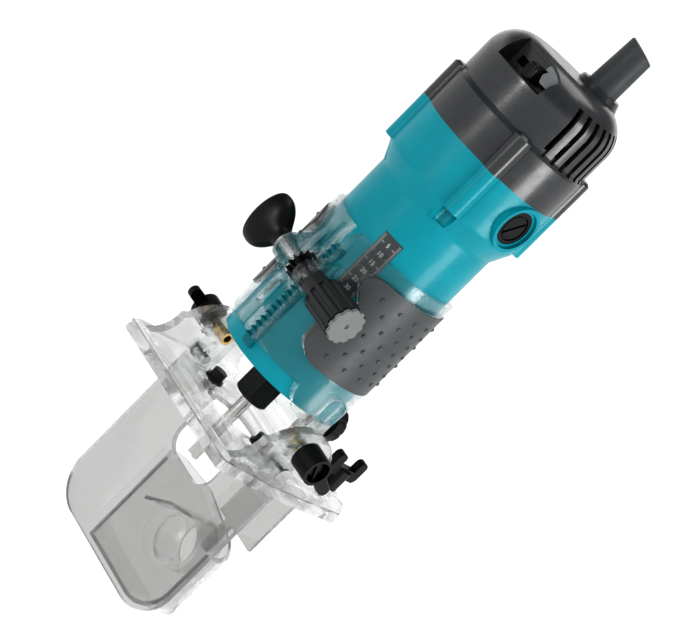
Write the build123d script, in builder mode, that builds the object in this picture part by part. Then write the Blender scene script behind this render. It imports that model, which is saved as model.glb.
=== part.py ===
from build123d import *
from math import cos, pi, radians, sin
import os

# A corded laminate trimmer (trim router) in its clear tilting base, with an edge-trimming hood.
# Millimetres. +Z runs up the spindle to the cord end, -Y faces the clamp of the sleeve and +X is the
# side of the height knob. The origin is on the spindle's axis, in the underside of the base plate.

# Driving dimensions
barrel_radius = 32.5  # the motor barrel that a trimmer's base clamps
running_gap = 0.05  # radial clearance of what slides or turns
clear_gap = 0.3  # between faces of different bodies that only pass each other
motor_low = 35.0  # lower rim of the motor at the rest height
waist_z = 135.0
seam_z = 169.0
body_radius = 37.2
boss_circle = 35.5
boss_radius = 5.0
brush_z = 157.0
cover_step_z = 187.0
cover_radius = 36.0
cover_top_z = 220.0
shoulder = 16.0
cover_wall = 2.5
guard_x = 1.0
guard_y = 21.0
guard_length = 32.0
guard_cut = 16.0  # slant of the guard's trimmed end, in degrees
guard_cut_toward = 37.5  # the side that the slant faces, in degrees from +X
shank_radius = 3.0
bit_tip_z = -22.6
nut_low_z = 15.7
nut_across_flats = 17.0
sleeve_radius = 35.5
sleeve_low = 44.0
sleeve_top = 110.0
slot_left = 0.6
slot_right = 6.2
clamp_y = -42.6
clamp_z = 82.6
rack_module = 1.0
pinion_teeth = 13
tilt_z = 7.6
leg_half_width = 6.4
leg_face = 38.5
lock_radius = 14.4  # from the tilt axis to the locking screws
ear_inside = leg_face + clear_gap
ear_thick = 4.5
ear_radius = 25.0
tilt_back = 12.0
tilt_front = 35.0
plate_thick = 5.5
plate_front = -44.5
plate_rear = 55.5
plate_opening = 17.0
hood_screw_x = 22.0
hood_travel = 8.0
guide_screw_x = 33.0
guide_screw_y = 44.0
flange_thick = 2.2
fence_front = 0.6
fence_thick = 3.0
fence_half = 46.4
fence_low = -89.0
tub_rear = 25.0
tub_right = 45.0
port_x = 11.0
port_z = -60.0
port_radius = 14.0

pitch_radius = rack_module * pinion_teeth / 2
rack_pitch_y = clamp_y + pitch_radius
bore_radius = barrel_radius + running_gap
ear_outside = ear_inside + ear_thick
lock_z = tilt_z + lock_radius
BASE = (Align.CENTER, Align.CENTER, Align.MIN)
SPAN = (Align.MIN, Align.MIN, Align.MIN)

os.makedirs("parts", exist_ok=True)


def save(builder, name):
    """Labels a finished sub-part and writes its STEP file."""
    builder.part.label = name
    export_step(builder.part, f"parts/{name}.step")


def facing_x(x, y, z, side=1):
    """A plane across X at a point, its normal outward on that side."""
    return Plane(origin=(x, y, z), x_dir=(0, side, 0), z_dir=(side, 0, 0))


def facing_y(x, y, z, side=1):
    """A plane across Y at a point, its normal to the rear, or to the front for side -1."""
    return Plane(origin=(x, y, z), x_dir=(-side, 0, 0), z_dir=(0, side, 0))


def at_z(x, y, z):
    """A level plane at a point."""
    return Plane(origin=(x, y, z))


def rod(plane, radius, length, mode=Mode.ADD):
    """A cylinder that starts on a plane and runs along its normal."""
    with Locations(plane):
        Cylinder(radius, length, align=BASE, mode=mode)


def block(low, high, mode=Mode.ADD):
    """A box between its lowest and highest corners."""
    with Locations(low):
        Box(*[b - a for a, b in zip(low, high)], align=SPAN, mode=mode)


def turned(points):
    """The half section of a piece turned about the spindle's axis, from (radius, height) corners."""
    with BuildSketch(Plane.XZ) as section:
        with BuildLine():
            Polyline(*points, close=True)
        make_face()
    return section.sketch


def ring(inner, outer, low, high):
    """The half section of a plain ring about the spindle's axis."""
    return turned([(inner, low), (outer, low), (outer, high), (inner, high)])


# ---------------------------------------------------------------- motor housing


def housing_section():
    """The wall of the barrel, its waist and the wider upper body."""
    wall = 3.0
    with BuildSketch(Plane.XZ) as section:
        with BuildLine():
            outside = FilletPolyline(
                (barrel_radius, motor_low),
                (barrel_radius, waist_z + 1),
                (body_radius, waist_z + 10),
                (body_radius, seam_z),
                radius=5,
            )
            top = Line(outside @ 1, (body_radius - wall, seam_z))
            inside = FilletPolyline(
                top @ 1,
                (body_radius - wall, waist_z + 11),
                (barrel_radius - wall, waist_z + 2),
                (barrel_radius - wall, motor_low),
                radius=4,
            )
            Line(inside @ 1, outside @ 0)
        make_face()
    return section.sketch


rack_width = 5.0
rack_left = (slot_left + slot_right - rack_width) / 2
rack_bed_y = -barrel_radius + 1.3
rack_low = 39.0
rack_high = 99.0
rack_teeth_below = 13
rack_teeth_above = 5
scale_angle = -59.0
scale_low = 72.0
scale_high = 118.7
scale_width = 10.6
scale_thick = 0.8
boss_low = 145.0
rim_radius = 11.7
cap_radius = 8.6
pocket_radius = 4.1
pocket_low = 137.0
pocket_high = 148.5

# Walls behind the pockets in which the cover's screws sit, below each boss.
with BuildPart() as pocket_walls:
    with PolarLocations(boss_circle, 4, 45):
        with Locations((0, 0, pocket_low - 1.5)):
            Cylinder(pocket_radius + 1.8, seam_z - 5 - pocket_low, align=BASE)
    revolve(
        turned(
            [
                (28, waist_z),
                (barrel_radius - 0.2, waist_z),
                (body_radius - 0.2, waist_z + 9.7),
                (body_radius - 0.2, seam_z),
                (28, seam_z),
            ]
        ),
        axis=Axis.Z,
        mode=Mode.INTERSECT,
    )

with BuildPart() as motor_housing:
    revolve(housing_section(), axis=Axis.Z)
    add(pocket_walls.part)
    with PolarLocations(boss_circle, 4, 45):
        with Locations((0, 0, boss_low)):
            Cylinder(boss_radius, seam_z - boss_low, align=BASE)
    for side in (1, -1):
        rod(facing_x(side * 34.0, 0, brush_z, side), rim_radius, 4.6)
        rod(facing_x(side * 30.0, 0, brush_z, side), cap_radius + 0.1, 10, Mode.SUBTRACT)
        rod(facing_x(side * 37.0, 0, brush_z, side), rim_radius - 1.6, 3, Mode.SUBTRACT)
    revolve(ring(0, barrel_radius - 3.2, motor_low, waist_z), axis=Axis.Z, mode=Mode.SUBTRACT)
    with PolarLocations(boss_circle, 4, 45):
        with Locations((0, 0, pocket_low)):
            Cylinder(1.7, seam_z - pocket_low, align=BASE, mode=Mode.SUBTRACT)
            Cylinder(pocket_radius, pocket_high - pocket_low, align=BASE, mode=Mode.SUBTRACT)
    block(
        (rack_left - 0.05, -barrel_radius - 1, rack_low - 0.05),
        (rack_left + rack_width + 0.05, rack_bed_y + 0.05, rack_high + 0.05),
        Mode.SUBTRACT,
    )
    with PolarLocations(barrel_radius, 1, scale_angle):
        with Locations((0, 0, scale_low)):
            Box(
                2 * (scale_thick + 0.8),
                scale_width + 0.1,
                scale_high - scale_low,
                align=BASE,
                mode=Mode.SUBTRACT,
            )
save(motor_housing, "motor_housing")

# The printed height scale: a thin curved plate that fills its recess flush with the barrel.
with BuildPart() as scale_plate:
    with PolarLocations(barrel_radius, 1, scale_angle):
        with Locations((0, 0, scale_low + 0.05)):
            Box(
                2 * (scale_thick + 0.75),
                scale_width,
                scale_high - scale_low - 0.1,
                align=BASE,
            )
    revolve(ring(0, barrel_radius, 0, seam_z), axis=Axis.Z, mode=Mode.INTERSECT)
save(scale_plate, "scale_plate")

# The rack: straight-flanked teeth that face the pinion, on a strip set into the barrel.
rack_pitch = pi * rack_module
with BuildPart() as gear_rack:
    block(
        (rack_left, rack_pitch_y + 1.0, rack_low),
        (rack_left + rack_width, rack_bed_y, rack_high),
    )
    with BuildSketch(Plane.YZ.offset(rack_left)):
        for tooth in range(-rack_teeth_below, rack_teeth_above):
            middle = clamp_z + (tooth + 0.5) * rack_pitch
            with BuildLine():
                Polyline(
                    (rack_pitch_y + 1.15, middle - 1.0),
                    (rack_pitch_y - 0.85, middle - 0.3),
                    (rack_pitch_y - 0.85, middle + 0.3),
                    (rack_pitch_y + 1.15, middle + 1.0),
                    close=True,
                )
            make_face()
    extrude(amount=rack_width)
save(gear_rack, "gear_rack")

# Metal nose that closes the lower end and seats the lower bearing.
nose_high = 47.0
bearing_outer = 13.0
with BuildPart() as nose_bracket:
    revolve(
        turned(
            [
                (9.0, motor_low + 0.6),
                (barrel_radius - 3.25, motor_low + 0.6),
                (barrel_radius - 3.25, nose_high),
                (bearing_outer + 3, nose_high),
                (bearing_outer + 0.02, nose_high),
                (bearing_outer + 0.02, motor_low + 3),
                (9.0, motor_low + 3),
            ]
        ),
        axis=Axis.Z,
    )
    with PolarLocations(21.5, 8):
        with Locations((0, 0, motor_low)):
            Cylinder(3.6, 20, align=BASE, mode=Mode.SUBTRACT)
save(nose_bracket, "nose_bracket")

# ---------------------------------------------------------------- motor inside


def ball_bearing(inner, outer, low, high):
    """The section of a bearing: two races and the shielded ring between them."""
    step = 0.5
    third = (outer - inner) / 3
    return turned(
        [
            (inner, low),
            (inner + third, low),
            (inner + third, low + step),
            (outer - third, low + step),
            (outer - third, low),
            (outer, low),
            (outer, high),
            (outer - third, high),
            (outer - third, high - step),
            (inner + third, high - step),
            (inner + third, high),
            (inner, high),
        ]
    )


shaft_radius = 5.0
lower_seat = 6.0
upper_seat = 4.0
bridge_low = 166.0
bearing_high = 180.0
core_low = 78.0
core_high = 128.0
rotor_radius = 17.0
commutator_low = 148.0
commutator_high = 165.0
commutator_radius = 11.0

with BuildPart() as lower_bearing:
    revolve(
        ball_bearing(lower_seat + 0.02, bearing_outer, motor_low + 3.1, nose_high - 0.1),
        axis=Axis.Z,
    )
save(lower_bearing, "lower_bearing")

with BuildPart() as upper_bearing:
    revolve(ball_bearing(upper_seat + 0.02, 11.0, 171.1, bearing_high - 0.1), axis=Axis.Z)
save(upper_bearing, "upper_bearing")

# Bridge across the top of the housing that holds the upper bearing.
with BuildPart() as bearing_bridge:
    revolve(
        turned(
            [
                (6.0, bridge_low + 1.5),
                (33.9, bridge_low + 1.5),
                (33.9, seam_z),
                (14.0, seam_z),
                (14.0, bearing_high),
                (11.02, bearing_high),
                (11.02, 171.0),
                (6.0, 171.0),
            ]
        ),
        axis=Axis.Z,
    )
    with PolarLocations(24, 6):
        with Locations((0, 0, bridge_low)):
            Cylinder(5.2, 8, align=BASE, mode=Mode.SUBTRACT)
    with PolarLocations(boss_circle, 4, 45):
        with Locations((0, 0, bridge_low)):
            Cylinder(boss_radius + 0.1, 8, align=BASE, mode=Mode.SUBTRACT)
save(bearing_bridge, "bearing_bridge")

# Spindle: collet taper at its lower end, bearing seats and the armature's length between them.
with BuildPart() as armature_shaft:
    revolve(
        turned(
            [
                (5.4, 22.0),
                (6.5, 22.0),
                (6.5, 34.0),
                (lower_seat, 34.0),
                (lower_seat, nose_high + 1),
                (shaft_radius, nose_high + 1),
                (shaft_radius, seam_z + 1.5),
                (upper_seat, seam_z + 1.5),
                (upper_seat, bearing_high + 1),
                (0, bearing_high + 1),
                (0, 38.0),
                (3.6, 38.0),
                (3.6, 36.5),
            ]
        ),
        axis=Axis.Z,
    )
save(armature_shaft, "armature_shaft")

with BuildPart() as rotor_core:
    revolve(ring(shaft_radius + 0.02, rotor_radius, core_low, core_high), axis=Axis.Z)
    with PolarLocations(rotor_radius - 1.5, 12):
        with Locations((0, 0, core_low)):
            Cylinder(1.5, core_high - core_low, align=BASE, mode=Mode.SUBTRACT)
            Box(4, 1.4, core_high - core_low, align=BASE, mode=Mode.SUBTRACT)
save(rotor_core, "rotor_core")

# End turns of the armature winding: a rounded ring of copper at each end of the core.
with BuildPart() as rotor_windings:
    for low, high in ((core_low - 9, core_low - 0.1), (core_high + 0.1, core_high + 9)):
        revolve(ring(shaft_radius + 0.1, rotor_radius - 2, low, high), axis=Axis.Z)
    fillet(rotor_windings.edges().filter_by(GeomType.CIRCLE).group_by(SortBy.RADIUS)[-1], 2.5)
save(rotor_windings, "rotor_windings")

with BuildPart() as commutator:
    revolve(ring(shaft_radius + 0.02, commutator_radius, commutator_low, commutator_high), axis=Axis.Z)
    with PolarLocations(commutator_radius, 24):
        with Locations((0, 0, commutator_low)):
            Box(1.4, 0.5, commutator_high - commutator_low, align=BASE, mode=Mode.SUBTRACT)
save(commutator, "commutator")

# Cooling fan: a hub and back plate with curved blades below it.
with BuildPart() as cooling_fan:
    revolve(ring(shaft_radius + 0.02, 8, 51, 63), axis=Axis.Z)
    revolve(ring(7, 27.5, 61, 63), axis=Axis.Z)
    with PolarLocations(17, 11):
        with Locations(Location((0, 0, 51), (0, 0, 35))):
            Box(18, 1.4, 10.5, align=BASE)
    revolve(ring(27.5, 40, 45, 70), axis=Axis.Z, mode=Mode.SUBTRACT)
save(cooling_fan, "cooling_fan")

with BuildPart() as fan_baffle:
    revolve(ring(20, barrel_radius - 3.3, 64.5, 66.5), axis=Axis.Z)
save(fan_baffle, "fan_baffle")

# Stator: a ring with two poles about the rotor.
with BuildPart() as stator_core:
    revolve(ring(rotor_radius + 0.6, barrel_radius - 3.3, core_low, core_high), axis=Axis.Z)
    for side in (1, -1):
        block((-30, side * 23 - 3.5, core_low), (30, side * 23 + 3.5, core_high), Mode.SUBTRACT)
    revolve(ring(26.5, barrel_radius - 3.3, core_low, core_high), axis=Axis.Z)
save(stator_core, "stator_core")

# Field winding: one coil above and below each pole, run through the gaps beside it.
with BuildPart() as field_windings:
    for side in (1, -1):
        with BuildSketch(facing_y(0, side * 20, (core_low + core_high) / 2, side)):
            RectangleRounded(32, core_high - core_low + 16, 7)
            RectangleRounded(22, core_high - core_low + 2, 4, mode=Mode.SUBTRACT)
        extrude(amount=5.5)
    revolve(ring(0, 26.3, core_low - 10, core_high + 10), axis=Axis.Z, mode=Mode.INTERSECT)
    block((-26, -26, core_low - 0.2), (26, 26, core_high + 0.2), Mode.SUBTRACT)
save(field_windings, "field_windings")

with BuildPart() as brush_holders:
    for side in (1, -1):
        with BuildSketch(facing_x(side * 13, 0, brush_z, side)):
            Rectangle(9, 11)
            Rectangle(6.1, 8.1, mode=Mode.SUBTRACT)
        extrude(amount=18)
save(brush_holders, "brush_holders")

with BuildPart() as carbon_brushes:
    for side in (1, -1):
        with BuildSketch(facing_x(side * (commutator_radius + 0.05), 0, brush_z, side)):
            Rectangle(6, 8)
        extrude(amount=12)
save(carbon_brushes, "carbon_brushes")

# Each brush is pushed in by a coil spring, drawn as the sleeve of space that the coil fills.
with BuildPart() as brush_springs:
    for side in (1, -1):
        with BuildSketch(facing_x(side * (commutator_radius + 12.1), 0, brush_z, side)):
            Circle(2.6)
            Circle(1.8, mode=Mode.SUBTRACT)
        extrude(amount=9)
save(brush_springs, "brush_springs")

for side, name in ((1, "brush_cap_right"), (-1, "brush_cap_left")):
    with BuildPart() as brush_cap:
        rod(facing_x(side * 32.4, 0, brush_z, side), cap_radius, 4.6)
        rod(facing_x(side * 36.2, 0, brush_z, side), cap_radius - 1.8, 2, Mode.SUBTRACT)
        rod(facing_x(side * 36.0, 0, brush_z, side), cap_radius - 2.6, 0.8)
        with Locations(Location((side * 36.8, 0, brush_z), (45, 0, 0))):
            Box(1.6, 12, 1.3, mode=Mode.SUBTRACT)
    save(brush_cap, name)

# ---------------------------------------------------------------- rear cover


def cover_section(inset):
    """The half section of the cover's outside, set in by the wall for its inside."""
    with BuildSketch(Plane.XZ) as section:
        with BuildLine():
            Line((0, seam_z), (body_radius - inset, seam_z))
            Line((body_radius - inset, seam_z), (body_radius - inset, cover_step_z))
            Line((body_radius - inset, cover_step_z), (cover_radius - inset, cover_step_z + 2.5))
            wall = Line(
                (cover_radius - inset, cover_step_z + 2.5),
                (cover_radius - inset, cover_top_z - shoulder),
            )
            round_over = RadiusArc(
                wall @ 1, (cover_radius - shoulder, cover_top_z - inset), -(shoulder - inset)
            )
            crown = Line(round_over @ 1, (0, cover_top_z - inset))
            Line(crown @ 1, (0, seam_z))
        make_face()
    return section.sketch


vent_count = 7
vent_pitch = 10.0
vent_middle = 2.0
vent_width = 2.7
switch_low = (-10.0, -40.0, 205.4)
switch_high = (18.5, -25.0, 218.4)
boss_rise = 19.6

with BuildPart() as rear_cover:
    revolve(cover_section(0), axis=Axis.Z)
    with Locations((guard_x, guard_y, cover_top_z - 4)):
        Cone(13, 10.5, 6.5, align=BASE)
    with PolarLocations(boss_circle, 4, 45):
        with Locations((0, 0, seam_z)):
            Cylinder(boss_radius, boss_rise, align=BASE)
        with Locations((0, 0, seam_z + boss_rise)):
            Cone(boss_radius, boss_radius - 1.4, 1.2, align=BASE)
    revolve(cover_section(cover_wall), axis=Axis.Z, mode=Mode.SUBTRACT)
    with PolarLocations(boss_circle - 0.6, 4, 45):
        with Locations((0, 0, seam_z)):
            Cylinder(boss_radius - 0.8, 13, align=BASE)
    with PolarLocations(boss_circle, 4, 45):
        with Locations((0, 0, seam_z)):
            Cylinder(1.7, 12, align=BASE, mode=Mode.SUBTRACT)
    with Locations((guard_x, guard_y, cover_top_z - 6)):
        Cylinder(8.3, 12, align=BASE, mode=Mode.SUBTRACT)
    for middle in (vent_middle, 180 - vent_middle):
        start = middle - vent_pitch * (vent_count - 1) / 2
        for slot in range(vent_count):
            with PolarLocations(34, 1, start + slot * vent_pitch):
                with Locations((0, 0, cover_step_z + 1.2)):
                    Box(12, vent_width, 25.5, align=BASE, mode=Mode.SUBTRACT)
    block(switch_low, switch_high, Mode.SUBTRACT)
save(rear_cover, "rear_cover")

# The cover's screws come up from the pockets below the housing's bosses.
with BuildPart() as cover_screws:
    with PolarLocations(boss_circle, 4, 45):
        with Locations((0, 0, pocket_high - 2.4)):
            Cylinder(3.2, 2.4, align=BASE)
            Cylinder(1.65, seam_z + 11.5 - pocket_high, align=BASE)
    with PolarLocations(boss_circle, 4, 45):
        with Locations((0, 0, pocket_high - 3.5)):
            Box(4.2, 0.9, 2, align=BASE, mode=Mode.SUBTRACT)
            Box(0.9, 4.2, 2, align=BASE, mode=Mode.SUBTRACT)
save(cover_screws, "cover_screws")

# The well behind the switch opening: floor, back wall and ends, inside the cover.
well_wall = 1.5
with BuildPart() as switch_well:
    block(
        (switch_low[0] - well_wall, -34.0, switch_low[2] - well_wall),
        (switch_high[0] + well_wall, switch_high[1] + well_wall, switch_high[2] - 1.4),
    )
    block(switch_low, (switch_high[0], switch_high[1], switch_high[2] + 2), Mode.SUBTRACT)
    block((-7.0, switch_high[1] - 1, 207.5), (15.4, switch_high[1] + 3, 211.5), Mode.SUBTRACT)
    revolve(cover_section(cover_wall + 0.1), axis=Axis.Z, mode=Mode.INTERSECT)
save(switch_well, "switch_well")

# Grey ramp at the right end of the switch opening.
with BuildPart() as switch_ramp:
    with BuildSketch(Plane.XZ.offset(-switch_high[1] + 0.1)):
        with BuildLine():
            Polyline(
                (switch_high[0] - 0.1, switch_low[2] + 4),
                (switch_high[0] - 0.1, switch_high[2] - 0.1),
                (switch_high[0] - 10, switch_high[2] - 0.1),
                (switch_high[0] - 9, switch_high[2] - 2),
                (switch_high[0] - 4, switch_low[2] + 4),
                close=True,
            )
        make_face()
    extrude(amount=12)
    revolve(cover_section(0.8), axis=Axis.Z, mode=Mode.INTERSECT)
    block((-12, -45, switch_low[2]), (12.2, -20, switch_high[2] - 3.6), Mode.SUBTRACT)
save(switch_ramp, "switch_ramp")

# The switch slides along X: a rounded tab outside, a stem through the well, a foot in the switch.
lever_x = 8.0
with BuildPart() as switch_lever:
    with BuildSketch(Plane.XZ.offset(-switch_high[1] + 0.4)):
        with Locations((lever_x, 210.2)):
            RectangleRounded(6.0, 8.4, 2.6)
    extrude(amount=8.8)
    fillet(switch_lever.faces().sort_by(Axis.Y)[0].edges(), 1.4)
    block((lever_x - 2.2, -26.0, 208.2), (lever_x + 2.2, -20.5, 210.8))
save(switch_lever, "switch_lever")

with BuildPart() as switch_body:
    block((-12.0, -20.2, 196.0), (19.0, -7.0, 212.5))
    fillet(switch_body.edges().filter_by(Axis.Y), 1.2)
    block((-7.5, -21.0, 207.6), (16.0, -19.0, 211.4), Mode.SUBTRACT)
    for terminal in range(4):
        block((-9 + terminal * 7, -15.0, 191.0), (-8.2 + terminal * 7, -10.0, 196.5))
save(switch_body, "switch_body")

with BuildPart() as noise_capacitor:
    block((-24.0, 2.0, 188.0), (-13.0, 16.0, 206.0))
    fillet(noise_capacitor.edges().filter_by(Axis.Z), 2)
save(noise_capacitor, "noise_capacitor")

# Cord guard: a tapered rubber sleeve with its foot inside the cover and a bore for the cord.
guard_low = cover_top_z - 3
guard_foot = cover_top_z - 11
guard_lean = 0.04
cut = radians(guard_cut)
toward = radians(guard_cut_toward)
guard_end = Plane(
    origin=(guard_x + guard_lean * guard_length, guard_y, guard_low + guard_length - 2.7),
    z_dir=(sin(cut) * cos(toward), sin(cut) * sin(toward), cos(cut)),
)
cord_bore = 3.7
with BuildPart() as cord_guard:
    with BuildSketch(at_z(guard_x, guard_y, guard_low)):
        Circle(7.9)
    with BuildSketch(at_z(guard_x + guard_lean * guard_length, guard_y, guard_low + guard_length)):
        Circle(7.1)
    loft()
    with Locations(guard_end):
        Box(40, 40, 20, align=BASE, mode=Mode.SUBTRACT)
    fillet(cord_guard.edges().sort_by(Axis.Z)[-1], 0.8)
    with Locations((guard_x, guard_y, guard_foot)):
        Cylinder(8.9, 2.5, align=BASE)
        Cylinder(7.8, guard_low - guard_foot + 1, align=BASE)
    with BuildSketch(at_z(guard_x, guard_y, guard_foot - 1)):
        Circle(cord_bore)
    with BuildSketch(at_z(guard_x + guard_lean * guard_length, guard_y, guard_low + guard_length + 1)):
        Circle(cord_bore)
    loft(mode=Mode.SUBTRACT)
save(cord_guard, "cord_guard")

with BuildPart() as cord_clamp:
    block((guard_x - 10, guard_y - 5, 204.0), (guard_x + 10, guard_y + 5, 208.5))
    fillet(cord_clamp.edges().filter_by(Axis.Z), 1.5)
    with Locations((guard_x, guard_y, 203)):
        Cylinder(cord_bore - 0.2, 8, align=BASE, mode=Mode.SUBTRACT)
    with Locations((guard_x - 7.3, guard_y, 203), (guard_x + 7.3, guard_y, 203)):
        Cylinder(1.6, 8, align=BASE, mode=Mode.SUBTRACT)
save(cord_clamp, "cord_clamp")

with BuildPart() as cord_clamp_screws:
    with Locations((guard_x - 7.3, guard_y, 196.0), (guard_x + 7.3, guard_y, 196.0)):
        Cylinder(1.5, 7.9, align=BASE)
    with Locations((guard_x - 7.3, guard_y, 193.5), (guard_x + 7.3, guard_y, 193.5)):
        Cylinder(2.7, 2.5, align=BASE)
    with Locations((guard_x - 7.3, guard_y, 203.9), (guard_x + 7.3, guard_y, 203.9)):
        Cylinder(1.5, 4.6, align=BASE)
save(cord_clamp_screws, "cord_clamp_screws")

# ---------------------------------------------------------------- collet and bit

with BuildPart() as collet_nut:
    with BuildSketch(at_z(0, 0, nut_low_z)):
        RegularPolygon(nut_across_flats / 2, 6, major_radius=False, rotation=7.5)
    extrude(amount=15.5)
    revolve(
        turned(
            [
                (0, nut_low_z),
                (8.0, nut_low_z),
                (9.95, nut_low_z + 2.0),
                (9.95, nut_low_z + 14.4),
                (8.6, nut_low_z + 15.5),
                (0, nut_low_z + 15.5),
            ]
        ),
        axis=Axis.Z,
        mode=Mode.INTERSECT,
    )
    revolve(
        turned(
            [
                (0, nut_low_z - 1),
                (4.4, nut_low_z - 1),
                (4.4, nut_low_z + 1.4),
                (5.4, nut_low_z + 3.4),
                (5.4, 21.9),
                (6.55, 21.9),
                (6.55, nut_low_z + 16),
                (0, nut_low_z + 16),
            ]
        ),
        axis=Axis.Z,
        mode=Mode.SUBTRACT,
    )
save(collet_nut, "collet_nut")

# Split collet: a taper in the spindle's mouth, slit so that the nut squeezes it on the shank.
with BuildPart() as collet_cone:
    revolve(
        turned(
            [
                (shank_radius + 0.02, nut_low_z + 0.4),
                (4.3, nut_low_z + 0.4),
                (4.3, nut_low_z + 1.4),
                (5.2, nut_low_z + 3.4),
                (5.2, 22.0),
                (3.5, 36.3),
                (shank_radius + 0.02, 36.3),
            ]
        ),
        axis=Axis.Z,
    )
    with PolarLocations(5, 3):
        with Locations((0, 0, nut_low_z)):
            Box(6, 0.7, 14, align=BASE, mode=Mode.SUBTRACT)
save(collet_cone, "collet_cone")

# Straight bit: a plain shank and two flutes.
flute_high = 1.0
with BuildPart() as router_bit:
    with Locations((0, 0, bit_tip_z)):
        Cylinder(shank_radius, 35.8 - bit_tip_z, align=BASE)
    chamfer(router_bit.edges().sort_by(Axis.Z)[-1], 0.5)
    for side in (1, -1):
        with Locations(Location((0, 0, bit_tip_z - 1), (0, 0, 35))):
            with Locations((side * 2.1, side * 2.1, 0)):
                Box(4.2, 3.4, flute_high - bit_tip_z, align=BASE, mode=Mode.SUBTRACT)
save(router_bit, "router_bit")

# ---------------------------------------------------------------- clamp sleeve

pad_low = 54.6
pad_high = 103.3
pad_half = 28.8
pad_radius = 36.1
pad_bed = 34.3


def pad_outline(growth):
    """The outline of a grip pad, seen along X, with a waist beside the height knob."""
    edge = pad_half + growth
    waist = 24.8 + growth
    half = [
        (-edge, pad_low - growth, 8),
        (-edge, 70, 6),
        (-waist, 76, 3),
        (-waist, 88, 3),
        (-edge, 95, 4),
        (-edge, pad_high + growth, 6),
    ]
    corners = half + [(-y, z, radius) for y, z, radius in reversed(half)]
    with BuildSketch(Plane.YZ) as outline:
        with BuildLine():
            FilletPolyline(
                *[(y, z) for y, z, radius in corners],
                radius=[radius for y, z, radius in corners],
                close=True,
            )
        make_face()
    return outline.sketch


# The recess that both grip pads fill.
with BuildPart() as pad_recess:
    extrude(pad_outline(0.08), amount=45, both=True)
    revolve(ring(pad_bed, 45, 50, 108), axis=Axis.Z, mode=Mode.INTERSECT)

ear_face = 7.2
ear_left = -11.6
ear_right = 12.4
with BuildPart() as clamp_sleeve:
    with BuildSketch(Plane.YZ):
        with BuildLine():
            side_line = FilletPolyline(
                (leg_half_width, tilt_z),
                (leg_half_width, sleeve_low),
                (26, sleeve_low),
                (26, sleeve_low + 4),
                (-26, sleeve_low + 4),
                (-26, sleeve_low),
                (-leg_half_width, sleeve_low),
                (-leg_half_width, tilt_z),
                radius=1.9,
            )
            RadiusArc(side_line @ 1, side_line @ 0, leg_half_width)
        make_face()
        for side in (1, -1):
            with BuildLine():
                fillet_side = Line(
                    (side * leg_half_width, sleeve_low), (side * leg_half_width, sleeve_low - 13)
                )
                sweep_in = RadiusArc(
                    fillet_side @ 1, (side * (leg_half_width + 13), sleeve_low), side * -13
                )
                Line(sweep_in @ 1, fillet_side @ 0)
            make_face()
    extrude(amount=40, both=True)
    with BuildSketch(facing_y(0, 0, 31)):
        RectangleRounded(32, 34, 5)
    extrude(amount=40)
    revolve(ring(0, sleeve_radius, -5, 60), axis=Axis.Z, mode=Mode.INTERSECT)
    revolve(ring(0, sleeve_radius, sleeve_low, sleeve_top), axis=Axis.Z)
    with BuildSketch(facing_x(-leg_face, 0, tilt_z)):
        Circle(leg_half_width)
        with Locations((0, 18)):
            Rectangle(2 * leg_half_width, 36)
        with Locations((0, 36)):
            Circle(leg_half_width)
    extrude(amount=2 * leg_face)
    for left, right in ((ear_left, slot_left), (slot_right, ear_right)):
        with BuildSketch(facing_x(left, clamp_y, clamp_z)):
            Circle(ear_face)
            with BuildLine():
                Polyline(
                    (-0.8, ear_face),
                    (11, ear_face + 6),
                    (11, -ear_face - 6),
                    (-0.8, -ear_face),
                    close=True,
                )
            make_face()
        extrude(amount=right - left)
    for left, right in ((slot_left - 2.6, slot_left), (slot_right, slot_right + 2.6)):
        block((left, -38.2, sleeve_low), (right, -30, sleeve_top - 2))
    block((-11.0, -37.2, sleeve_low), (slot_left, -30, 71))
    add(pad_recess.part, mode=Mode.SUBTRACT)
    with Locations((0, 0, -6)):
        Cylinder(bore_radius, sleeve_top + 10, align=BASE, mode=Mode.SUBTRACT)
    block((slot_left, -50, 30), (slot_right, -25, sleeve_top + 5), Mode.SUBTRACT)
    with BuildSketch(facing_y(-5.2, -25, 62, -1)):
        SlotCenterToCenter(8, 6.4, rotation=90)
    extrude(amount=20, mode=Mode.SUBTRACT)
    rod(facing_x(-20, clamp_y, clamp_z), 2.05, 21, Mode.SUBTRACT)
    rod(facing_x(slot_right, clamp_y, clamp_z), 3.25, 10, Mode.SUBTRACT)
    for side in (1, -1):
        rod(facing_x(side * 20, 0, tilt_z, side), 2.55, 30, Mode.SUBTRACT)
        rod(facing_x(side * 20, 0, lock_z, side), 3.52, 30, Mode.SUBTRACT)
    rod(facing_y(10, 20, 27), 2.55, 30, Mode.SUBTRACT)
save(clamp_sleeve, "clamp_sleeve")

for side, name in ((1, "grip_pad_right"), (-1, "grip_pad_left")):
    with BuildPart() as grip_pad:
        extrude(pad_outline(0), amount=45 * side)
        revolve(ring(pad_bed + 0.05, pad_radius, 50, 108), axis=Axis.Z, mode=Mode.INTERSECT)
    save(grip_pad, name)

with BuildPart() as lock_inserts:
    for side in (1, -1):
        rod(facing_x(side * 32.7, 0, lock_z, side), 3.5, leg_face - 32.7)
        rod(facing_x(side * 30, 0, lock_z, side), 2.02, 10, Mode.SUBTRACT)
save(lock_inserts, "lock_inserts")

# ---------------------------------------------------------------- clamp, pinion and height knob

knob_start = 13.2
stem_end = 20.0
grip_start = 22.4
stem_radius = 5.8
knob_end = 40.5
knob_radius = 9.0
flutes = 12
bolt_end = knob_end - 1.1

with BuildPart() as clamp_bolt:
    rod(facing_x(-22, clamp_y, clamp_z), 2.0, bolt_end + 22)
    rod(facing_x(bolt_end, clamp_y, clamp_z), 3.6, 1.0)
save(clamp_bolt, "clamp_bolt")

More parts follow.
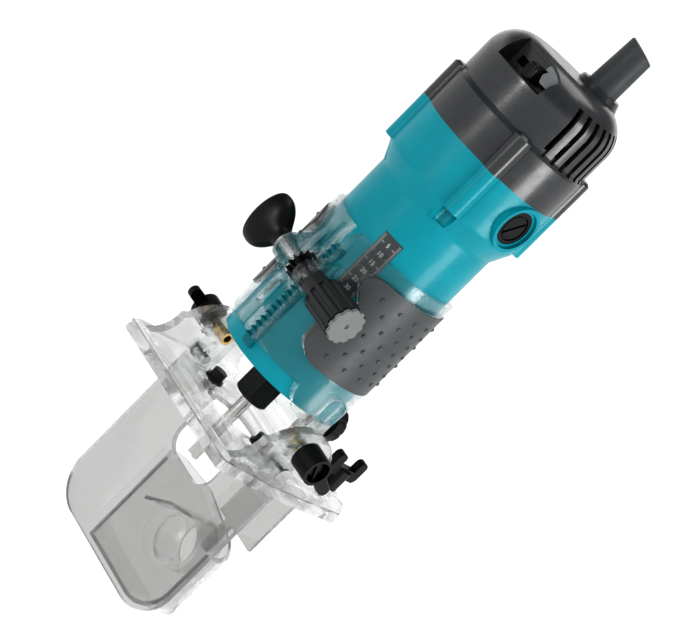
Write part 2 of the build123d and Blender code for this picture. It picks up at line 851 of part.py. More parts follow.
with BuildPart() as clamp_washer:
    rod(facing_x(ear_left - 1.4, clamp_y, clamp_z), 5.5, 1.3)
    rod(facing_x(ear_left - 2, clamp_y, clamp_z), 2.1, 3, Mode.SUBTRACT)
save(clamp_washer, "clamp_washer")

# Wing nut: a round neck that flares into a flat oval grip.
with BuildPart() as wing_nut:
    for x, half_y, half_z in (
        (ear_left - 1.6, 5.2, 5.2),
        (ear_left - 6.0, 5.2, 5.6),
        (ear_left - 10.0, 6.6, 10.4),
        (ear_left - 14.0, 7.8, 13.2),
        (ear_left - 18.0, 8.3, 13.8),
        (ear_left - 21.0, 8.0, 13.2),
    ):
        with BuildSketch(facing_x(x, clamp_y, clamp_z, -1)):
            Ellipse(half_y, half_z)
    loft()
    fillet(wing_nut.faces().sort_by(Axis.X)[0].edges(), 1.6)
    rod(facing_x(-22.1, clamp_y, clamp_z), 2.02, 12, Mode.SUBTRACT)
save(wing_nut, "wing_nut")

# Pinion: teeth cut thin at the pitch line for backlash, on a hollow hub that turns in the right ear.
with BuildPart() as pinion:
    with BuildSketch(facing_x(slot_left + 0.3, clamp_y, clamp_z)):
        Circle(pitch_radius - 1.25)
        for tooth in range(pinion_teeth):
            turn = radians(tooth * 360 / pinion_teeth)
            corners = []
            for out, across in ((4.6, -1.1), (7.3, -0.3), (7.3, 0.3), (4.6, 1.1)):
                corners.append(
                    (
                        out * cos(turn) - across * sin(turn),
                        out * sin(turn) + across * cos(turn),
                    )
                )
            with BuildLine():
                Polyline(*corners, close=True)
            make_face()
    extrude(amount=slot_right - slot_left - 0.6)
    rod(facing_x(slot_right - 0.4, clamp_y, clamp_z), 3.2, knob_start + 11.8 - slot_right)
    rod(facing_x(0, clamp_y, clamp_z), 2.05, 40, Mode.SUBTRACT)
save(pinion, "pinion")

with BuildPart() as height_knob:
    rod(facing_x(knob_start, clamp_y, clamp_z), stem_radius, stem_end - knob_start)
    with Locations(facing_x(stem_end, clamp_y, clamp_z)):
        Cone(stem_radius, knob_radius, grip_start - stem_end, align=BASE)
    with BuildSketch(facing_x(grip_start, clamp_y, clamp_z)):
        Circle(knob_radius)
        with PolarLocations(knob_radius + 0.5, flutes):
            Circle(1.5, mode=Mode.SUBTRACT)
    extrude(amount=knob_end - grip_start)
    rod(facing_x(knob_start, clamp_y, clamp_z), 3.25, 13, Mode.SUBTRACT)
    rod(facing_x(knob_start, clamp_y, clamp_z), 2.1, 30, Mode.SUBTRACT)
    rod(facing_x(bolt_end - 0.1, clamp_y, clamp_z), 3.9, 3, Mode.SUBTRACT)
save(height_knob, "height_knob")

with BuildPart() as knob_cap:
    with BuildSketch(facing_x(knob_end + 0.85, clamp_y, clamp_z)):
        Circle(knob_radius)
        with PolarLocations(knob_radius + 0.5, flutes):
            Circle(1.3, mode=Mode.SUBTRACT)
    extrude(amount=1.6)
    with Locations(facing_x(knob_end + 2.6, clamp_y, clamp_z)):
        Sphere(1.2, mode=Mode.SUBTRACT)
    rod(facing_x(knob_end + 0.05, clamp_y, clamp_z), knob_radius - 2.4, 0.85)
save(knob_cap, "knob_cap")

rear_knob_x = 10.0
rear_knob_z = 27.0
with BuildPart() as rear_knob:
    with BuildSketch(facing_y(rear_knob_x, 36.0, rear_knob_z)):
        Circle(10.0)
        with PolarLocations(11.4, 10):
            Circle(1.8, mode=Mode.SUBTRACT)
    extrude(amount=7)
    fillet(rear_knob.faces().sort_by(Axis.Y)[-1].edges(), 0.6)
    rod(facing_y(rear_knob_x, 33.4, rear_knob_z), 2.5, 3)
save(rear_knob, "rear_knob")

# ---------------------------------------------------------------- tilt base

slot_sweep = tilt_back + tilt_front + 6
screw_radius = 2.4
recess_half = 31.3  # half width of the recess for the hood's flange

with BuildPart() as tilt_base:
    with BuildSketch():
        with BuildLine():
            FilletPolyline(
                (-44.5, plate_front),
                (48.5, plate_front),
                (52.5, -14),
                (52.5, 12),
                (50.5, 43),
                (40, plate_rear),
                (-38, plate_rear),
                (-47.5, 43),
                (-47.5, -36),
                radius=2.5,
                close=True,
            )
        make_face()
    extrude(amount=plate_thick)
    chamfer(tilt_base.faces().sort_by(Axis.Z)[-1].edges(), 0.6)
    for side in (1, -1):
        with BuildSketch(facing_x(side * ear_inside, 0, tilt_z)):
            Circle(ear_radius)
            with BuildLine():
                Polyline(
                    (-37, -tilt_z),
                    (-37, 6),
                    (-22, 13),
                    (22, 13),
                    (37, 6),
                    (37, -tilt_z),
                    close=True,
                )
            make_face()
            with Locations((-37, 10.4), (37, 10.4)):
                Circle(12.5, mode=Mode.SUBTRACT)
            with Locations((0, -tilt_z - 20)):
                Rectangle(80, 40, mode=Mode.SUBTRACT)
            Circle(2.52, mode=Mode.SUBTRACT)
            with BuildLine(mode=Mode.PRIVATE) as screw_path:
                CenterArc((0, 0), lock_radius, 87 - tilt_back, slot_sweep)
            SlotArc(screw_path.edges()[0], 2 * screw_radius, mode=Mode.SUBTRACT)
        extrude(amount=side * ear_thick)
    with Locations((0, 0, -1)):
        Cylinder(plate_opening, plate_thick + 2, align=BASE, mode=Mode.SUBTRACT)
    for side in (1, -1):
        with BuildSketch(at_z(side * hood_screw_x, 0, -1)):
            SlotCenterToCenter(2 * hood_travel, 5.0, rotation=90)
        extrude(amount=plate_thick + 2, mode=Mode.SUBTRACT)
    block((-recess_half, -14.5, -1), (recess_half, 34.0, flange_thick + 0.3), Mode.SUBTRACT)
    leg_room = leg_half_width + 0.5
    for left, right in ((-ear_inside, -recess_half), (recess_half, ear_inside)):
        block((left, -leg_room, -1), (right, leg_room, plate_thick + 1), Mode.SUBTRACT)
    for side in (1, -1):
        rod(facing_x(side * 31, 0, tilt_z, side), 2.52, 14, Mode.SUBTRACT)
        rod(facing_x(side * ear_outside, 0, tilt_z, side), 4.1, 1.4, Mode.SUBTRACT)
    for row in (plate_front + 4.0, plate_front + 7.5):
        block((-40, row, plate_thick - 1.0), (40, row + 1.2, plate_thick + 1), Mode.SUBTRACT)
    with Locations((guide_screw_x, guide_screw_y, 0)):
        Cylinder(6.5, 8.0, align=BASE)
        Cylinder(2.05, 9.0, align=BASE, mode=Mode.SUBTRACT)
save(tilt_base, "tilt_base")

with BuildPart() as pivot_pins:
    for side in (1, -1):
        rod(facing_x(side * 32.8, 0, tilt_z, side), 2.5, ear_outside - 32.8)
        rod(facing_x(side * ear_outside, 0, tilt_z, side), 4.0, 1.2)
save(pivot_pins, "pivot_pins")

with BuildPart() as lock_washers:
    for side in (1, -1):
        rod(facing_x(side * (ear_outside + 0.05), 0, lock_z, side), 6.0, 1.2)
        rod(facing_x(side * ear_outside, 0, lock_z, side), 2.1, 3, Mode.SUBTRACT)
save(lock_washers, "lock_washers")

# Tilt locking levers: a hollow hub with a single arm, on a screw into the sleeve's leg.
hub_start = ear_outside + 1.3
hub_end = 56.3
hub_radius = 7.2
arm_reach = 17.5
arm_thick = 3.4
for side, turn, name in ((1, -27, "tilt_lever_right"), (-1, 163, "tilt_lever_left")):
    with BuildPart() as tilt_lever:
        arm_plane = Plane(
            origin=(side * (hub_end - arm_thick), 0, lock_z),
            x_dir=(0, cos(radians(turn)), sin(radians(turn))),
            z_dir=(side, 0, 0),
        )
        with BuildSketch(arm_plane):
            with Locations((arm_reach / 2, 0)):
                SlotOverall(arm_reach, 6.0)
            Circle(hub_radius - 1.3, mode=Mode.SUBTRACT)
        extrude(amount=arm_thick)
        chamfer(tilt_lever.faces().sort_by(Axis.X)[-1 if side > 0 else 0].edges(), 0.5)
        rod(facing_x(side * hub_start, 0, lock_z, side), hub_radius, hub_end - hub_start)
        rod(facing_x(side * (hub_end - 9), 0, lock_z, side), hub_radius - 1.6, 12, Mode.SUBTRACT)
        rod(facing_x(side * (hub_end - 9), 0, lock_z, side), 3.6, 6.5)
        with BuildSketch(facing_x(side * (hub_end - 9), 0, lock_z, side)):
            Rectangle(1.2, 2 * hub_radius - 2.4, rotation=30)
        extrude(amount=7.5)
        rod(facing_x(side * 34.0, 0, lock_z, side), 2.0, hub_start - 34.0)
    save(tilt_lever, name)

# Guide screw at the rear right corner: a round hub with two upright ears, spaced along Y.
guide_screw_low = 8.2
with BuildPart() as guide_screw:
    with Locations((guide_screw_x, guide_screw_y, guide_screw_low)):
        Cylinder(4.6, 11, align=BASE)
    with BuildSketch(facing_x(guide_screw_x - 2.2, guide_screw_y, guide_screw_low)):
        with Locations((0, 9.3)):
            Rectangle(19, 5.5)
        with Locations((-8.4, 12.4), (8.4, 12.4)):
            SlotOverall(11.5, 5.2, rotation=90)
    extrude(amount=4.4)
    fillet(guide_screw.faces().sort_by(Axis.Z)[-1].edges(), 0.5)
    with Locations((guide_screw_x, guide_screw_y, 1.2)):
        Cylinder(2.0, 7.2, align=BASE)
save(guide_screw, "guide_screw")

# ---------------------------------------------------------------- hood below the base

# Hood screws: a knurled head on a flange, over the plate's slot, threaded into the hood's nuts.
for side, name in ((1, "hood_screw_right"), (-1, "hood_screw_left")):
    with BuildPart() as hood_screw:
        with Locations((side * hood_screw_x, 0, plate_thick + 0.05)):
            Cylinder(4.7, 1.6, align=BASE)
        with BuildSketch(at_z(side * hood_screw_x, 0, plate_thick + 1.5)):
            Circle(3.5)
            with PolarLocations(3.75, 12):
                Circle(0.55, mode=Mode.SUBTRACT)
        extrude(amount=4.2)
        with Locations((side * hood_screw_x, 0, 0.3)):
            Cylinder(2.0, plate_thick, align=BASE)
    save(hood_screw, name)

with BuildPart() as hood_nuts:
    with Locations((hood_screw_x, 0, 0), (-hood_screw_x, 0, 0)):
        Cylinder(3.6, flange_thick, align=BASE)
        Cylinder(2.02, 8, align=BASE, mode=Mode.SUBTRACT)
save(hood_nuts, "hood_nuts")

# The bracket: a flange in the plate's recess, and the plate that hangs from it at the right rear.
bracket_thick = 2.0
flange_half = 29.5
bracket_y = tub_rear - 2.0 - bracket_thick
with BuildPart() as hood_bracket:
    block((-flange_half, -6.2, 0.0), (flange_half, bracket_y + bracket_thick, flange_thick))
    fillet(hood_bracket.edges().filter_by(Axis.Z), 3)
    with Locations((0, 0, -1)):
        Cylinder(plate_opening, 6, align=BASE, mode=Mode.SUBTRACT)
    block((-12, -10, -1), (12, 0, 4), Mode.SUBTRACT)
    with Locations((hood_screw_x, 0, -1), (-hood_screw_x, 0, -1)):
        Cylinder(3.62, 6, align=BASE, mode=Mode.SUBTRACT)
    block((18.0, bracket_y, -33.0), (44.6, bracket_y + bracket_thick, -clear_gap))
    block((18.0, bracket_y, -1.0), (flange_half - 0.5, bracket_y + bracket_thick, 1.0))
    block((24.0, bracket_y, -50.0), (29.0, bracket_y + bracket_thick, -30.0))
save(hood_bracket, "hood_bracket")

# The fence: a flat sheet with rounded lower corners and a notch about the bit.
notch_half = 17.0
fence_back = fence_front + fence_thick
with BuildPart() as hood_fence:
    with BuildSketch(facing_y(0, fence_front, 0)):
        with BuildLine():
            sides = FilletPolyline(
                (-fence_half, -clear_gap),
                (-fence_half, fence_low),
                (fence_half, fence_low),
                (fence_half, -clear_gap),
                radius=19,
            )
            Line(sides @ 1, sides @ 0)
        make_face()
        Rectangle(60, 6)
        with Locations((0, 20)):
            Rectangle(70, 40, mode=Mode.SUBTRACT)
        with Locations((0, -13)):
            RectangleRounded(2 * notch_half, 34, 9, mode=Mode.SUBTRACT)
    extrude(amount=fence_thick)
save(hood_fence, "hood_fence")

tub_left = -30.0
tub_wall = 2.0
tub_low = -87.0
tub_corner = 19.0
tub_lean = 18.0
tub_rear_corner = 6.0
tub_far_corner = 16.0


def tub_solid(inset, rise):
    """The filled outside of the chip tub, set in by its wall and raised for the open top."""
    left = tub_left + inset
    right = tub_right - inset
    rear = tub_rear - inset
    with BuildPart() as body:
        with BuildSketch(Plane.XZ.offset(-fence_back)):
            with BuildLine():
                FilletPolyline(
                    (left, -36.5 + rise),
                    (left, tub_low + inset),
                    (right, tub_low + inset),
                    (right, -44.0 + rise),
                    (28.0, -37.5 + rise),
                    (5.0, -33.0 + rise),
                    radius=[1, tub_corner - inset, tub_corner - inset, 1, 1, 1],
                    close=True,
                )
            make_face()
        extrude(amount=-(tub_rear - fence_back + 5))
        with BuildSketch():
            with BuildLine():
                FilletPolyline(
                    (left + tub_lean, fence_back - 3),
                    (left + tub_lean, fence_back),
                    (left, rear),
                    (right, rear),
                    (right, fence_back - 3),
                    radius=[1, 1, tub_rear_corner - inset, tub_far_corner - inset, 1],
                    close=True,
                )
            make_face()
        extrude(amount=100, both=True, mode=Mode.INTERSECT)
    return body.part


with BuildPart() as hood_tub:
    add(tub_solid(0, 0))
    add(tub_solid(tub_wall, 20), mode=Mode.SUBTRACT)
    with BuildSketch(Plane.XZ.offset(-fence_back)):
        with BuildLine():
            Polyline((-4.0, -54.0), (9.0, -45.0), (22.0, -40.0))
        trace(line_width=1.6)
    extrude(amount=-(tub_rear - tub_wall - fence_back + 0.5))
    rod(facing_y(port_x, tub_rear - 0.5, port_z), port_radius, 18)
    rod(facing_y(port_x, tub_rear - tub_wall - 0.5, port_z), port_radius - 2, 30, Mode.SUBTRACT)
save(hood_tub, "hood_tub")
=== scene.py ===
from math import cos, pi, radians, sin

import bmesh
import bpy
from mathutils import Matrix, Vector


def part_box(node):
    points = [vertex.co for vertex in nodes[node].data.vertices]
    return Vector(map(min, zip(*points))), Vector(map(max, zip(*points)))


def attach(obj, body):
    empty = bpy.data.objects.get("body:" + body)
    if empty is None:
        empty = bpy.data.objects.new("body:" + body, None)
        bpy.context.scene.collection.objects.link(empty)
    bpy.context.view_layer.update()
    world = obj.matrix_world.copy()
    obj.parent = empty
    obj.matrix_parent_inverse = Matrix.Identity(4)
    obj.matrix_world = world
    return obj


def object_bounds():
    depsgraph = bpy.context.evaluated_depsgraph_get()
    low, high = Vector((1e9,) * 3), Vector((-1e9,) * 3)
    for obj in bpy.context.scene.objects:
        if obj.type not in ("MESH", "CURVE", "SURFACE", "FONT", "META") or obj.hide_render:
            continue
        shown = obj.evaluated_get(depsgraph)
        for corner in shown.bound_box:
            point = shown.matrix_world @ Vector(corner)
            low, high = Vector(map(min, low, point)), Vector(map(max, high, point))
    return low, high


MM = 0.001

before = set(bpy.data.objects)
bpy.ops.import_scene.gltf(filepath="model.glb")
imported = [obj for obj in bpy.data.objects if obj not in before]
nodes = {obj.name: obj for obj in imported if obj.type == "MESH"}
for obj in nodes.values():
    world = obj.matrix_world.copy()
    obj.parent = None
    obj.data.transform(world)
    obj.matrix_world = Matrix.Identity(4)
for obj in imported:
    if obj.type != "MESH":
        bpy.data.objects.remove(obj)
cad_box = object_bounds()
scene = bpy.context.scene

# ---------------------------------------------------------------- camera

azimuth = radians(37.5)
elevation = radians(12.3)
roll = radians(45.0)
distance = 1.1
target_right = 0.0035
target_up = 0.0685

across = Vector((cos(azimuth), sin(azimuth), 0))
ahead = Vector((-sin(azimuth), cos(azimuth), 0))
upward = sin(elevation) * ahead + cos(elevation) * Vector((0, 0, 1))
target = target_right * across + Vector((0, 0, target_up))
eye = target - distance * cos(elevation) * ahead + distance * sin(elevation) * Vector((0, 0, 1))
image_right = cos(roll) * across + sin(roll) * upward
image_up = cos(roll) * upward - sin(roll) * across
camera = bpy.data.objects.new("camera", bpy.data.cameras.new("camera"))
camera.data.lens = 132.2
camera.data.sensor_width = 36
camera.data.clip_start = 0.05
camera.data.clip_end = 200
camera.matrix_world = Matrix.Translation(eye) @ Matrix(
    (image_right, image_up, image_right.cross(image_up))
).transposed().to_4x4()
scene.collection.objects.link(camera)
scene.camera = camera

# ---------------------------------------------------------------- materials


class Tree:
    """Shorthand for building one material's nodes."""

    def __init__(self, name):
        self.material = bpy.data.materials.new(name)
        self.material.use_nodes = True
        self.tree = self.material.node_tree
        self.bsdf = self.tree.nodes["Principled BSDF"]
        self.coord = self.tree.nodes.new("ShaderNodeTexCoord").outputs["Object"]

    def node(self, kind, **inputs):
        made = self.tree.nodes.new(kind)
        for name, value in inputs.items():
            made.inputs[name.replace("_", " ")].default_value = value
        return made

    def link(self, out, into):
        self.tree.links.new(out, into)

    def noise(self, size_mm, detail=2.0, stretch=None):
        """Noise with features of about this size."""
        made = self.node("ShaderNodeTexNoise", Scale=1 / (size_mm * MM), Detail=detail)
        if stretch:
            mapping = self.node("ShaderNodeMapping", Scale=stretch)
            self.link(self.coord, mapping.inputs["Vector"])
            self.link(mapping.outputs["Vector"], made.inputs["Vector"])
        else:
            self.link(self.coord, made.inputs["Vector"])
        return made.outputs["Fac"]

    def spread(self, source, low, high, start=0.3, end=0.7):
        """Maps a 0 to 1 value onto a range."""
        made = self.node("ShaderNodeMapRange")
        made.inputs["From Min"].default_value = start
        made.inputs["From Max"].default_value = end
        made.inputs["To Min"].default_value = low
        made.inputs["To Max"].default_value = high
        self.link(source, made.inputs["Value"])
        return made.outputs["Result"]

    def tint(self, source, dark, light):
        """Varies the base colour between two colours."""
        ramp = self.node("ShaderNodeValToRGB")
        ramp.color_ramp.elements[0].position = 0.3
        ramp.color_ramp.elements[1].position = 0.8
        ramp.color_ramp.elements[0].color = (*dark, 1)
        ramp.color_ramp.elements[1].color = (*light, 1)
        self.link(source, ramp.inputs["Fac"])
        self.link(ramp.outputs["Color"], self.bsdf.inputs["Base Color"])

    def bump(self, *layers):
        """Stacks (height, depth in mm) layers into the normal."""
        last = None
        for height, depth in layers:
            made = self.node("ShaderNodeBump", Distance=depth * MM)
            self.link(height, made.inputs["Height"])
            if last:
                self.link(last, made.inputs["Normal"])
            last = made.outputs["Normal"]
        self.link(last, self.bsdf.inputs["Normal"])


def shade(colour, factor):
    return tuple(channel * factor for channel in colour)


def moulded(name, colour, roughness, grain=0.02, grain_size=0.35, coat=0.0, gloss=0.3):
    """Moulded plastic: a fine grain, soft colour variation and uneven gloss."""
    t = Tree(name)
    t.bsdf.inputs["IOR"].default_value = 1.5
    t.bsdf.inputs["Specular IOR Level"].default_value = gloss
    t.bsdf.inputs["Coat Weight"].default_value = coat
    t.bsdf.inputs["Coat Roughness"].default_value = 0.12
    t.tint(t.noise(14, 3), shade(colour, 0.93), shade(colour, 1.07))
    t.link(t.spread(t.noise(5, 4), roughness - 0.05, roughness + 0.06), t.bsdf.inputs["Roughness"])
    t.bump((t.noise(grain_size, 2), grain), (t.noise(12, 2), 0.02))
    return t.material


def metal(name, colour, roughness, stretch=(1, 1, 1), size=0.5, depth=0.004):
    """Turned or ground metal: fine lines along one way and uneven gloss."""
    t = Tree(name)
    t.bsdf.inputs["Metallic"].default_value = 1.0
    lines = t.noise(size, 3, stretch)
    t.tint(t.noise(6, 3), shade(colour, 0.88), shade(colour, 1.08))
    t.link(t.spread(lines, roughness - 0.06, roughness + 0.1), t.bsdf.inputs["Roughness"])
    t.bump((lines, depth))
    return t.material


def clear(name, colour, roughness, alpha):
    """Clear moulded plastic with slight waves and hairline wear."""
    t = Tree(name)
    t.bsdf.inputs["Base Color"].default_value = (*colour, 1)
    t.bsdf.inputs["Transmission Weight"].default_value = 1.0
    t.bsdf.inputs["Specular IOR Level"].default_value = 0.35
    t.bsdf.inputs["IOR"].default_value = 1.49
    t.bsdf.inputs["Alpha"].default_value = alpha
    t.link(t.spread(t.noise(6, 5), roughness, roughness + 0.05, 0.45, 0.8), t.bsdf.inputs["Roughness"])
    t.bump((t.noise(14, 1), 0.03))
    return t.material


teal = (0.0, 0.235, 0.285)
finishes = {
    "teal": moulded("teal plastic", teal, 0.32, 0.002, 0.6, 0.1, 0.22),
    "rack": moulded("rack plastic", shade(teal, 0.55), 0.4, 0.006, 0.5),
    "black": moulded("black plastic", (0.030, 0.032, 0.034), 0.27, 0.008, 0.5, 0.2, 0.5),
    "deep": moulded("black moulding", (0.008, 0.008, 0.009), 0.38, 0.006, 0.4, 0, 0.25),
    "knob": moulded("dark grey plastic", (0.028, 0.030, 0.031), 0.40, 0.008, 0.4),
    "light": moulded("light grey plastic", (0.17, 0.182, 0.178), 0.5, 0.02, 0.5),
    "ramp": moulded("grey ramp plastic", (0.16, 0.17, 0.175), 0.45, 0.02, 0.5),
    "rubber": moulded("guard rubber", (0.050, 0.056, 0.058), 0.5, 0.02, 0.4),
    "pad": moulded("grip rubber", (0.056, 0.061, 0.063), 0.40, 0.012, 0.3, 0, 0.45),
    "scale": moulded("scale plate", (0.055, 0.062, 0.064), 0.42, 0.006, 0.4),
    "clear": clear("clear sleeve plastic", (0.72, 0.76, 0.75), 0.015, 0.5),
    "base": clear("clear base plastic", (0.76, 0.775, 0.77), 0.015, 0.72),
    "hood": clear("clear hood plastic", (0.50, 0.505, 0.495), 0.02, 0.88),
    "tub": clear("clear tub plastic", (0.72, 0.725, 0.715), 0.02, 0.85),
    "oxide": metal("black oxide steel", (0.030, 0.032, 0.033), 0.33, (1, 1, 0.1)),
    "steel": metal("ground steel", (0.50, 0.50, 0.49), 0.24, (1, 1, 8)),
    "zinc": metal("plated steel", (0.58, 0.58, 0.57), 0.28),
    "cast": metal("cast aluminium", (0.52, 0.53, 0.53), 0.48, (1, 1, 1), 1.2, 0.03),
    "brass": metal("brass", (0.78, 0.55, 0.24), 0.26, (8, 1, 1)),
    "copper": metal("copper winding", (0.60, 0.26, 0.13), 0.35, (1, 1, 6), 0.4, 0.05),
    "core": metal("core steel", (0.30, 0.31, 0.32), 0.42, (1, 1, 20), 0.6, 0.02),
    "print": moulded("white print", (0.55, 0.57, 0.56), 0.6),
    "mark": moulded("dark marks", (0.06, 0.065, 0.065), 0.6),
    # The sill's pale colour is a painted highlight at the lower ends of the vents.
    "sill": moulded("painted vent highlight plastic", (0.45, 0.46, 0.46), 0.5),
    "carbon": moulded("carbon", (0.03, 0.03, 0.032), 0.6, 0.02, 0.3),
}
worn_by = {
    "teal": ["motor_housing"],
    "black": ["rear_cover", "bearing_bridge", "fan_baffle", "cooling_fan", "switch_body", "noise_capacitor",
              "cord_clamp", "switch_well"],
    "deep": ["wing_nut", "tilt_lever_left", "tilt_lever_right", "rear_knob", "guide_screw",
             "hood_screw_left", "hood_screw_right", "switch_lever", "brush_cap_left", "brush_cap_right"],
    "knob": ["height_knob"],
    "light": ["knob_cap"],
    "ramp": ["switch_ramp"],
    "rubber": ["cord_guard"],
    "pad": ["grip_pad_left", "grip_pad_right"],
    "scale": ["scale_plate"],
    "clear": ["clamp_sleeve"],
    "base": ["tilt_base"],
    "hood": ["hood_fence", "hood_bracket"],
    "tub": ["hood_tub"],
    "oxide": ["collet_nut", "pinion"],
    "steel": ["router_bit", "armature_shaft", "collet_cone"],
    "zinc": ["clamp_bolt", "clamp_washer", "lock_washers", "pivot_pins", "cover_screws",
             "cord_clamp_screws", "hood_nuts", "lower_bearing", "upper_bearing", "brush_springs"],
    "cast": ["nose_bracket"],
    "rack": ["gear_rack"],
    "brass": ["lock_inserts", "brush_holders"],
    "copper": ["rotor_windings", "field_windings", "commutator"],
    "core": ["rotor_core", "stator_core"],
    "carbon": ["carbon_brushes"],
}
for finish, names in worn_by.items():
    for name in names:
        for material_slot in nodes[name].material_slots:
            material_slot.material = finishes[finish]

# ---------------------------------------------------------------- pieces


def piece(name, mesh, body, finish):
    """Makes a mesh into a piece that rides on a CAD body."""
    made = bpy.data.objects.new(name, mesh)
    scene.collection.objects.link(made)
    mesh.materials.clear()
    mesh.materials.append(finishes[finish])
    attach(made, body)
    return made


def cube(builder, low, high, place=None):
    """Adds a box between two corners, moved by an optional placing function."""
    made = bmesh.ops.create_cube(builder, size=1)["verts"]
    for vert in made:
        point = Vector(
            [a + (b - a) * (part + 0.5) for a, b, part in zip(low, high, vert.co)]
        )
        vert.co = place(point) if place else point


def mesh_of(builder, name):
    """Closes a bmesh into a mesh."""
    bmesh.ops.recalc_face_normals(builder, faces=builder.faces)
    mesh = bpy.data.meshes.new(name)
    builder.to_mesh(mesh)
    builder.free()
    return mesh


def on_barrel(radius, angle, z):
    """A point at a radius from the spindle's axis, in millimetres and degrees."""
    return Vector((radius * cos(radians(angle)), radius * sin(radians(angle)), z)) * MM


# Raised dots of the grip pads, in offset rows.
pad_radius = 36.1
row_pitch = 5.8
dot_pitch = 17.2
dot_radius = 1.05
dot_height = 0.85
dot_sink = 0.12
dot_rows = 7
top_row_z = 96.5
for body_side, name in ((0, "grip_dots_right"), (180, "grip_dots_left")):
    builder = bmesh.new()
    for row in range(dot_rows):
        z = top_row_z - row * row_pitch
        count = 5 if row % 2 == 0 else 4
        for dot in range(count):
            angle = (dot - (count - 1) / 2) * dot_pitch + body_side
            ball = bmesh.ops.create_uvsphere(builder, u_segments=16, v_segments=10, radius=1)["verts"]
            frame_of = Matrix.Rotation(radians(angle), 4, "Z") @ Matrix.Translation(
                ((pad_radius - dot_sink) * MM, 0, z * MM)
            )
            for vert in ball:
                vert.co = frame_of @ Vector(
                    (vert.co.x * dot_height * MM, vert.co.y * dot_radius * MM, vert.co.z * dot_radius * MM)
                )
    for face in builder.faces:
        face.smooth = True
    piece(name, mesh_of(builder, name), "sleeve", "pad")

# Printed scale: ticks along both edges and a number every five, wrapped on the barrel.
scale_angle = -59.0
scale_radius = 32.5
scale_half = 5.0
scale_low, scale_high = (corner[2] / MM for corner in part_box("scale_plate"))


def wrapped(radius):
    """Wraps (height, across, up) in millimetres onto the barrel about the scale's middle."""
    def place(point):
        return on_barrel(radius + point.x, scale_angle + point.y / radius * 180 / pi, point.z)
    return place


scale_margin = 1.2  # from the plate's upper end to the first tick
first_number = 3  # the tick that carries the first number
number_step = 5
tick_half = 0.1
ink_sink = 0.05
ink_rise = 0.03
ticks = int(scale_high - scale_low) - 1

builder = bmesh.new()
for tick in range(ticks):
    z = scale_high - scale_margin - tick
    if tick % (2 * number_step) == first_number:
        length = 2.6
    elif tick % number_step == first_number:
        length = 1.9
    else:
        length = 1.2
    for side in (1, -1):
        edge = side * scale_half
        low, high = sorted((edge, edge - side * length))
        cube(
            builder,
            (-ink_sink, low, z - tick_half),
            (ink_rise, high, z + tick_half),
            wrapped(scale_radius),
        )
piece("scale_ticks", mesh_of(builder, "scale_ticks"), "motor", "print")


def lettering(text, size, place):
    """Flat, slightly raised figures moved by a placing function from (right, up) millimetres."""
    curve = bpy.data.curves.new(text, "FONT")
    curve.body = text
    curve.size = size
    curve.align_x = "CENTER"
    curve.align_y = "CENTER"
    curve.extrude = ink_rise
    curve.resolution_u = 3
    holder = bpy.data.objects.new(text, curve)
    mesh = bpy.data.meshes.new_from_object(holder)
    bpy.data.objects.remove(holder)
    for vert in mesh.vertices:
        vert.co = place(vert.co.copy())
    return mesh


def figure_at(z):
    """Stands a flat figure on the scale at a height."""
    place = wrapped(scale_radius)
    return lambda point: place(Vector((point.z, point.x, z + point.y)))


figure_size = 3.0
for tick in range(first_number, ticks, number_step):
    text = str(number_step + tick - first_number)
    mesh = lettering(text, figure_size, figure_at(scale_high - scale_margin - tick))
    piece(f"scale_number_{text}", mesh, "motor", "print")

# Graduations on the rims of the base's quadrants.
tilt_axis_z = 7.6
quadrant_radius = 25.0
quadrant_face = 43.2  # from the spindle's axis to the quadrant's outer face
marks_each_way = 6
mark_step = 5  # degrees
mark_half = 0.14
mark_sink = 0.05
mark_rise = 0.04


def on_quadrant(mark):
    """Turns millimetre points about the tilt axis to a mark's angle."""
    turn = Matrix.Rotation(radians(mark * mark_step), 4, "X")

    def place(point):
        return (turn @ point + Vector((0, 0, tilt_axis_z))) * MM

    return place


builder = bmesh.new()
for side in (1, -1):
    for mark in range(-marks_each_way, marks_each_way + 1):
        length = 3.6 if mark % 3 == 0 else 2.2
        low, high = sorted((side * quadrant_face, side * (quadrant_face - length)))
        cube(
            builder,
            (low, -mark_half, quadrant_radius - mark_sink),
            (high, mark_half, quadrant_radius + mark_rise),
            on_quadrant(mark),
        )
piece("quadrant_marks", mesh_of(builder, "quadrant_marks"), "base", "mark")

# A pale sill inside the cover, seen through the lower ends of the vents: its pale colour is a painted
# highlight standing in for the glint at the vents' lower edges.
sill_steps = 18
sill_turn = 4  # degrees
sill_inner = 31.0
sill_outer = 33.3
sill_low = 187.5
sill_high = 191.0
sill_section = (
    (sill_inner, sill_low),
    (sill_outer, sill_low),
    (sill_outer, sill_high),
    (sill_inner, sill_high),
)
builder = bmesh.new()
for side in (0, 180):
    rings = []
    for step in range(sill_steps + 1):
        angle = side + (step - sill_steps / 2) * sill_turn
        rings.append([builder.verts.new(on_barrel(radius, angle, z)) for radius, z in sill_section])
    for first, second in zip(rings, rings[1:]):
        for i in range(4):
            builder.faces.new((first[i], first[i - 1], second[i - 1], second[i]))
    builder.faces.new(rings[0])
    builder.faces.new(rings[-1])
# This piece carries the painted highlight seen at the vents' lower ends.
piece("vent_highlight_sills", mesh_of(builder, "vent_highlight_sills"), "motor", "sill")

# ---------------------------------------------------------------- light and floor

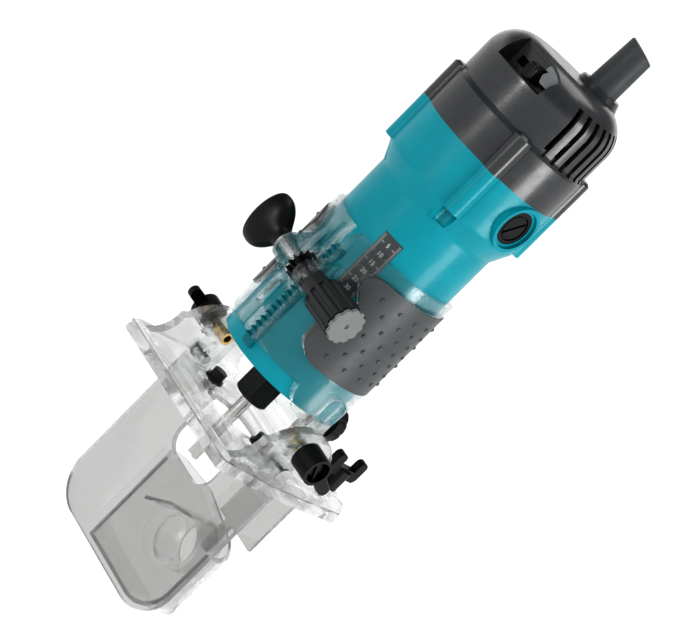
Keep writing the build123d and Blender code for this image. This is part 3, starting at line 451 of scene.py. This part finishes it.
floor_drop = 0.26  # the object is shown clear of the floor, so this is the room below it
floor_half = 40
builder = bmesh.new()
bmesh.ops.create_grid(builder, x_segments=1, y_segments=1, size=floor_half)
floor = bpy.data.objects.new("floor", mesh_of(builder, "floor"))
floor.location.z = cad_box[0][2] - floor_drop
scene.collection.objects.link(floor)
t = Tree("pale floor")
t.bsdf.inputs["Roughness"].default_value = 0.9
t.bsdf.inputs["Specular IOR Level"].default_value = 0.1
t.bsdf.inputs["Emission Color"].default_value = (1, 1, 1, 1)
t.bsdf.inputs["Emission Strength"].default_value = 0.64
t.tint(t.noise(400, 2), (0.29, 0.29, 0.29), (0.31, 0.31, 0.31))
floor.data.materials.append(t.material)

world = bpy.data.worlds.new("studio")
scene.world = world
world.use_nodes = True
tree = world.node_tree
coord = tree.nodes.new("ShaderNodeTexCoord")
split = tree.nodes.new("ShaderNodeSeparateXYZ")
ramp = tree.nodes.new("ShaderNodeValToRGB")
# A pale wall up to a little above the horizon, then a dim ceiling: (height, brightness).
sky = ((0.0, 0.92), (0.22, 0.92), (0.42, 0.12), (1.0, 0.40))
while len(ramp.color_ramp.elements) < len(sky):
    ramp.color_ramp.elements.new(0.5)
for element, (height, brightness) in zip(ramp.color_ramp.elements, sky):
    element.position = height
    element.color = (brightness, brightness, brightness, 1)
tree.links.new(coord.outputs["Generated"], split.inputs["Vector"])
tree.links.new(split.outputs["Z"], ramp.inputs["Fac"])
tree.links.new(ramp.outputs["Color"], tree.nodes["Background"].inputs["Color"])
tree.nodes["Background"].inputs["Strength"].default_value = 1.0


def softbox(name, place, size, power, aim=(0, 0, 0.08)):
    """A rectangular area light that faces the object, in metres and watts."""
    lamp = bpy.data.lights.new(name, "AREA")
    lamp.shape = "RECTANGLE"
    lamp.size, lamp.size_y = size
    lamp.energy = power
    made = bpy.data.objects.new(name, lamp)
    made.location = place
    made.rotation_euler = (Vector(aim) - Vector(place)).to_track_quat("-Z", "Y").to_euler()
    scene.collection.objects.link(made)


def stand(right, back, up):
    """A place in metres, to the camera's right, behind the object and above its origin."""
    return tuple(right * across + back * ahead + Vector((0, 0, up)))


softbox("key", stand(1.3, -0.55, 0.3), (0.5, 1.1), 13)
softbox("fill", stand(-0.9, -1.1, 0.5), (0.14, 0.9), 7)
softbox("top", stand(0.1, 0.3, 1.4), (0.8, 0.8), 5)

scene.view_settings.view_transform = "Standard"
scene.view_settings.look = "High Contrast"
scene.cycles.max_bounces = 14
scene.cycles.transmission_bounces = 14
scene.cycles.transparent_max_bounces = 32
